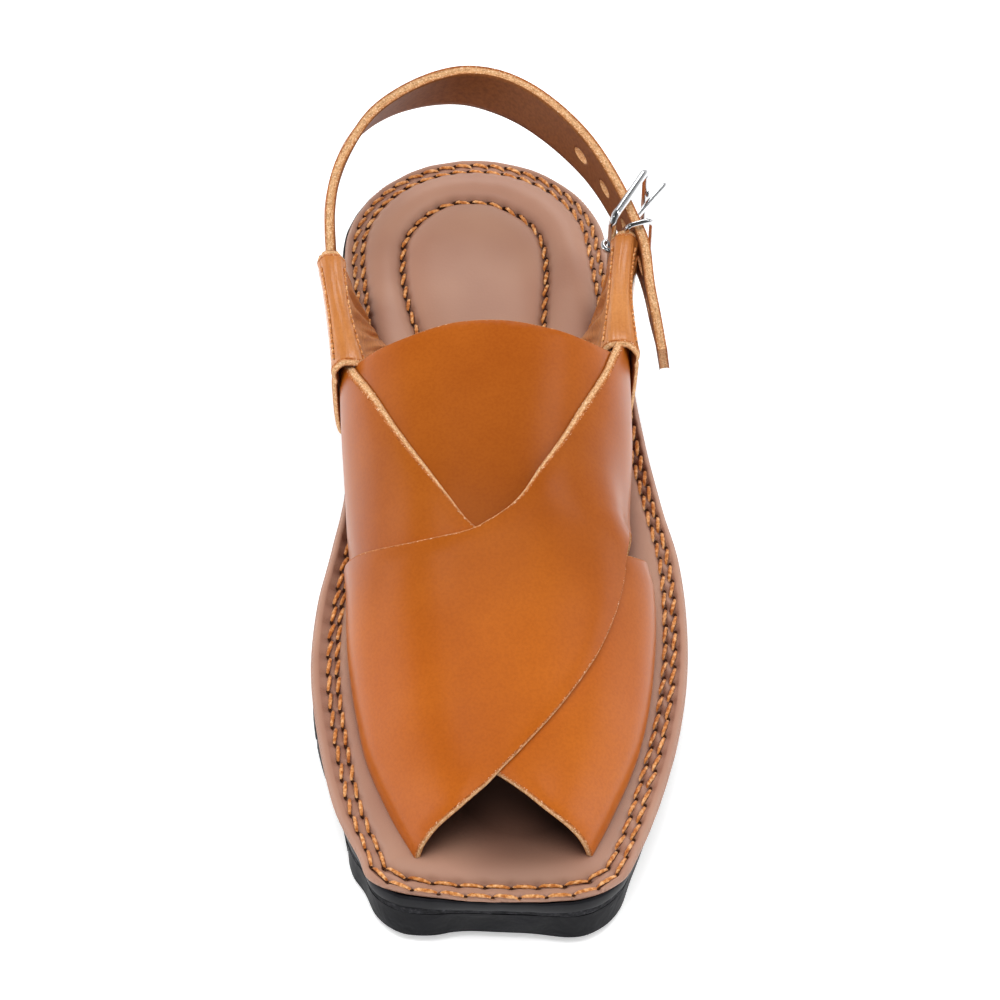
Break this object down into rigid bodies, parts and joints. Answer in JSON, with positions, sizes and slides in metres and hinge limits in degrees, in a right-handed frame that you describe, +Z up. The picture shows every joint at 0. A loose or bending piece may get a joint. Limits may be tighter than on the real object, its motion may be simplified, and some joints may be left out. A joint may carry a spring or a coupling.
{
  "type": "peshawari chappal",
  "caption": "Left leather sandal with crossed wide instep straps, vamp piece, open toe, buckled heel strap held in folded ears, and a lugged rubber sole.",
  "frame": {"origin": "middle of the shoe's outer box, on the floor that the tread stands on", "axes": "+Z up, -Y towards the toe, +X towards the outer (buckle) side of the left foot"},
  "size_m": [0.1113, 0.2928, 0.082],
  "materials": {
    "tyre_rubber": "matt moulded rubber",
    "crumb_foam": "matt crumb rubber foam",
    "lining_leather": "smooth satin",
    "saddle_leather": "waxed satin",
    "chrome_wire": "polished"
  },
  "bodies": {
    "root": {"outsole": "tyre_rubber", "midsole": "crumb_foam", "insole": "lining_leather", "upper": "saddle_leather", "ear_medial": "saddle_leather", "ear_lateral": "saddle_leather", "heel_strap": "saddle_leather", "buckle_frame": "chrome_wire", "buckle_prong": "chrome_wire", "strap_keeper": "chrome_wire"}
  },
  "joints": []
}
